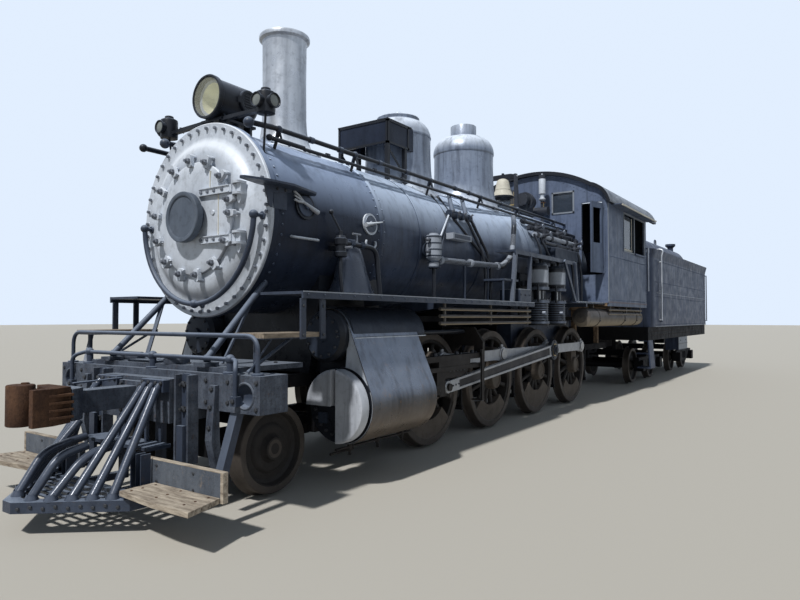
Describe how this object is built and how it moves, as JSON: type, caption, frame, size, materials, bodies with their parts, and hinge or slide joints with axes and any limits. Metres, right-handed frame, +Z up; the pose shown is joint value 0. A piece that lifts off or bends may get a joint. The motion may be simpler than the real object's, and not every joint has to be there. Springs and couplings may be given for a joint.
{
  "type": "steam locomotive",
  "caption": "Weathered steam locomotive with spoked driving wheels, side rods, pilot, domes, bell, cab with open front doors, and an oil tender on two trucks.",
  "frame": {"origin": "middle of the whole length and width, at the height of the wheel flanges' lowest points", "axes": "+X to the front of the engine, +Y to its left side, +Z up"},
  "size_m": [20.63, 3.28, 4.673],
  "materials": {
    "boiler_sheet": "worn graphite",
    "silver_paint": "weathered silver",
    "black_paint": "satin",
    "slate_paint": "weathered satin",
    "tender_paint": "satin",
    "worn_iron": "weathered",
    "bare_steel": "dull",
    "rusted_iron": "rough",
    "weathered_wood": "rough",
    "pale_paint": "satin",
    "tan_paint": "weathered"
  },
  "bodies": {
    "engine": {"air_pumps": "black_paint", "air_reservoirs": "tan_paint", "ash_pan": "black_paint", "backhead": "black_paint", "boiler": "boiler_sheet", "boiler_pipes": "black_paint", "brake_gear": "worn_iron", "cab_floor": "weathered_wood", "cab_front": "slate_paint", "cab_roof": "black_paint", "cab_sides": "slate_paint", "class_lamps": "black_paint", "coupler_front": "rusted_iron", "crossheads": "worn_iron", "cylinder_covers": "silver_paint", "cylinder_jackets": "silver_paint", "cylinder_saddle": "black_paint", "cylinders": "black_paint", "footboard_brackets": "slate_paint", "footboards": "weathered_wood", "frame": "black_paint", "front_handrails": "slate_paint", "front_steps": "weathered_wood", "guides": "worn_iron", "headlight": "black_paint", "main_rods": "bare_steel", "number_box": "black_paint", "pilot": "slate_paint", "pilot_beam": "slate_paint", "sand_dome": "boiler_sheet", "smokebox": "boiler_sheet", "smokebox_front": "silver_paint", "smokebox_rails": "black_paint", "stack": "silver_paint", "steam_dome": "boiler_sheet", "steam_fittings": "black_paint", "walkways": "slate_paint"},
    "driver_axle_1": {"driver_axle_1": "worn_iron"},
    "driver_axle_2": {"driver_axle_2": "worn_iron"},
    "driver_axle_3": {"driver_axle_3": "worn_iron"},
    "driver_axle_4": {"driver_axle_4": "worn_iron"},
    "side_rod_left": {"side_rod_left": "bare_steel"},
    "side_rod_right": {"side_rod_right": "bare_steel"},
    "pony_truck": {"pony_truck": "worn_iron"},
    "leading_wheels": {"leading_wheels": "worn_iron"},
    "smokebox_door": {"smokebox_door": "silver_paint"},
    "bell": {"bell": "pale_paint"},
    "cab_door_left": {"cab_door_left": "black_paint"},
    "cab_door_right": {"cab_door_right": "black_paint"},
    "tender": {"tender_frame": "worn_iron", "coupler_rear": "rusted_iron", "tender_tank": "tender_paint", "fuel_tank": "tender_paint", "tender_fittings": "tender_paint"},
    "truck_front": {"truck_front": "worn_iron"},
    "truck_rear": {"truck_rear": "worn_iron"},
    "tender_axle_1": {"tender_axle_1": "worn_iron"},
    "tender_axle_2": {"tender_axle_2": "worn_iron"},
    "tender_axle_3": {"tender_axle_3": "worn_iron"},
    "tender_axle_4": {"tender_axle_4": "worn_iron"}
  },
  "joints": [
    {"name": "driver_axle_1_spin", "type": "hinge", "parent": "engine", "child": "driver_axle_1", "pos_m": [5.851, 0, 0.718], "axis": [0, 1, 0], "continuous": true},
    {"name": "driver_axle_2_spin", "type": "hinge", "parent": "engine", "child": "driver_axle_2", "pos_m": [4.193, 0, 0.718], "axis": [0, 1, 0], "continuous": true},
    {"name": "driver_axle_3_spin", "type": "hinge", "parent": "engine", "child": "driver_axle_3", "pos_m": [2.535, 0, 0.718], "axis": [0, 1, 0], "continuous": true},
    {"name": "driver_axle_4_spin", "type": "hinge", "parent": "engine", "child": "driver_axle_4", "pos_m": [0.877, 0, 0.718], "axis": [0, 1, 0], "continuous": true},
    {"name": "side_rod_left_pin", "type": "hinge", "parent": "driver_axle_3", "child": "side_rod_left", "pos_m": [2.535, 0.98, 1.068], "axis": [0, 1, 0], "continuous": true},
    {"name": "side_rod_right_pin", "type": "hinge", "parent": "driver_axle_3", "child": "side_rod_right", "pos_m": [2.885, -0.98, 0.718], "axis": [0, 1, 0], "continuous": true},
    {"name": "pony_truck_swivel", "type": "hinge", "parent": "engine", "child": "pony_truck", "pos_m": [7.285, 0, 0.478], "axis": [0, 0, 1], "range_deg": [-3, 3]},
    {"name": "leading_wheels_spin", "type": "hinge", "parent": "pony_truck", "child": "leading_wheels", "pos_m": [8.463, 0, 0.426], "axis": [0, 1, 0], "continuous": true},
    {"name": "smokebox_door_hinge", "type": "hinge", "parent": "engine", "child": "smokebox_door", "pos_m": [8.719, 0.575, 2.518], "axis": [0, 0, 1], "range_deg": [0, 95]},
    {"name": "bell_swing", "type": "hinge", "parent": "engine", "child": "bell", "pos_m": [2.075, 0, 4.118], "axis": [0, 1, 0], "range_deg": [-45, 45]},
    {"name": "cab_door_left_hinge", "type": "hinge", "parent": "engine", "child": "cab_door_left", "pos_m": [0.687, 1.363, 3.028], "axis": [0, 0, 1], "range_deg": [-75, 15]},
    {"name": "cab_door_right_hinge", "type": "hinge", "parent": "engine", "child": "cab_door_right", "pos_m": [0.687, -1.363, 3.028], "axis": [0, 0, -1], "range_deg": [-75, 15]},
    {"name": "drawbar_pin", "type": "hinge", "parent": "engine", "child": "tender", "pos_m": [-2.065, 0, 0.788], "axis": [0, 0, 1], "range_deg": [-6, 6]},
    {"name": "truck_front_swivel", "type": "hinge", "parent": "tender", "child": "truck_front", "pos_m": [-4.215, 0, 1.018], "axis": [0, 0, 1], "range_deg": [-5, 5]},
    {"name": "truck_rear_swivel", "type": "hinge", "parent": "tender", "child": "truck_rear", "pos_m": [-8.415, 0, 1.018], "axis": [0, 0, 1], "range_deg": [-5, 5]},
    {"name": "tender_axle_1_spin", "type": "hinge", "parent": "truck_front", "child": "tender_axle_1", "pos_m": [-3.365, 0, 0.447], "axis": [0, 1, 0], "continuous": true},
    {"name": "tender_axle_2_spin", "type": "hinge", "parent": "truck_front", "child": "tender_axle_2", "pos_m": [-5.065, 0, 0.447], "axis": [0, 1, 0], "continuous": true},
    {"name": "tender_axle_3_spin", "type": "hinge", "parent": "truck_rear", "child": "tender_axle_3", "pos_m": [-7.565, 0, 0.447], "axis": [0, 1, 0], "continuous": true},
    {"name": "tender_axle_4_spin", "type": "hinge", "parent": "truck_rear", "child": "tender_axle_4", "pos_m": [-9.265, 0, 0.447], "axis": [0, 1, 0], "continuous": true}
  ],
  "couplings": [
    {"joint": "driver_axle_1_spin", "follows": "driver_axle_3_spin", "ratio": 1},
    {"joint": "driver_axle_2_spin", "follows": "driver_axle_3_spin", "ratio": 1},
    {"joint": "driver_axle_4_spin", "follows": "driver_axle_3_spin", "ratio": 1},
    {"joint": "side_rod_left_pin", "follows": "driver_axle_3_spin", "ratio": -1},
    {"joint": "side_rod_right_pin", "follows": "driver_axle_3_spin", "ratio": -1}
  ]
}
